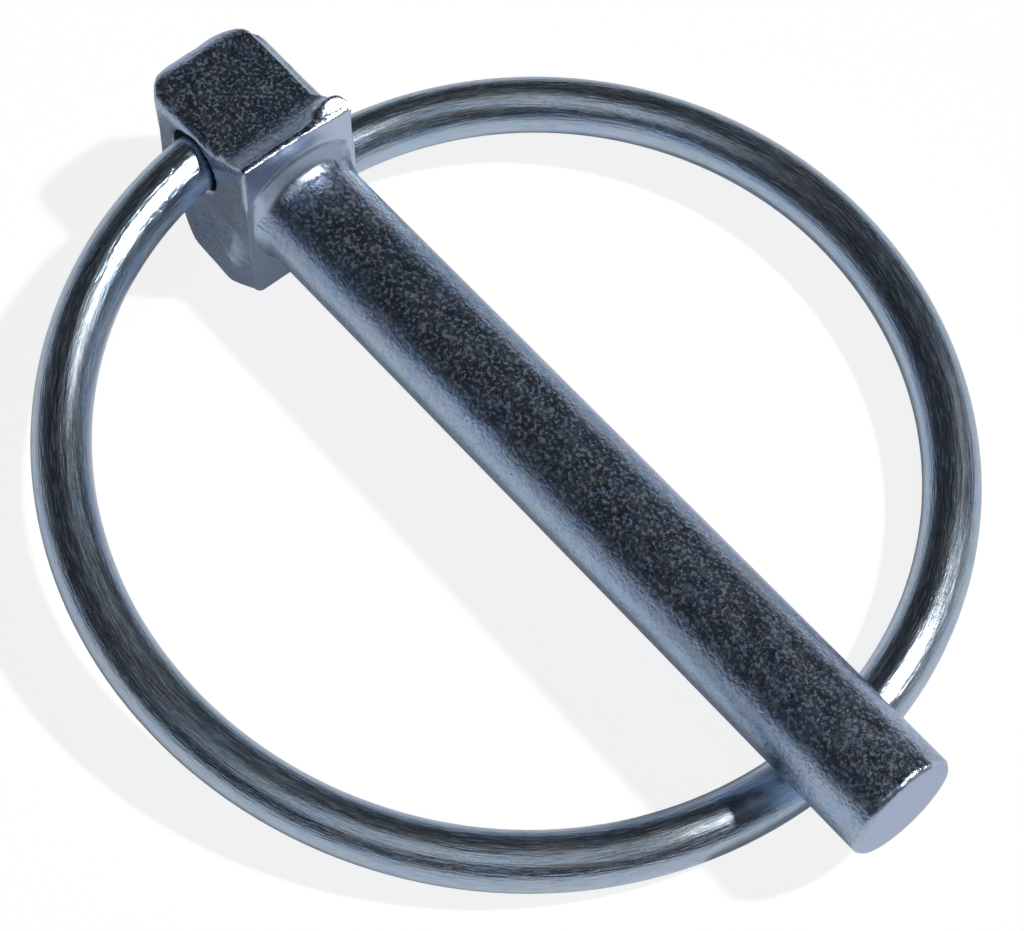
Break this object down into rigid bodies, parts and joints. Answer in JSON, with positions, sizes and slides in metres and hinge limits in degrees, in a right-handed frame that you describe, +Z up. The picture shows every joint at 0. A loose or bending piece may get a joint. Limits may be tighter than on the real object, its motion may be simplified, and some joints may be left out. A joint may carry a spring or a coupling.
{
  "type": "lynch pin",
  "caption": "Lynch pin: round steel shank with a flared, round-nosed head and a sprung wire ring that swings over to close against the shank.",
  "frame": {"origin": "centre of the outer box in plan, on the surface that the pin lies on", "axes": "+X runs along the shank from the head to the tip, +Y runs along the axis that the ring swings about, +Z is up, away from the surface"},
  "size_m": [0.0544, 0.0476, 0.0107],
  "materials": {
    "pin": "zinc plated, blue passivated, lightly speckled",
    "ring": "zinc plated, blue passivated, drawn wire"
  },
  "bodies": {
    "pin": {"pin": "pin"},
    "ring": {"ring": "ring"}
  },
  "joints": [
    {"name": "ring_swing", "type": "hinge", "parent": "pin", "child": "ring", "pos_m": [-0.02135, 0.00025, 0.00522], "axis": [0, 1, 0], "range_deg": [0, 347], "deforming": ["ring"]}
  ]
}
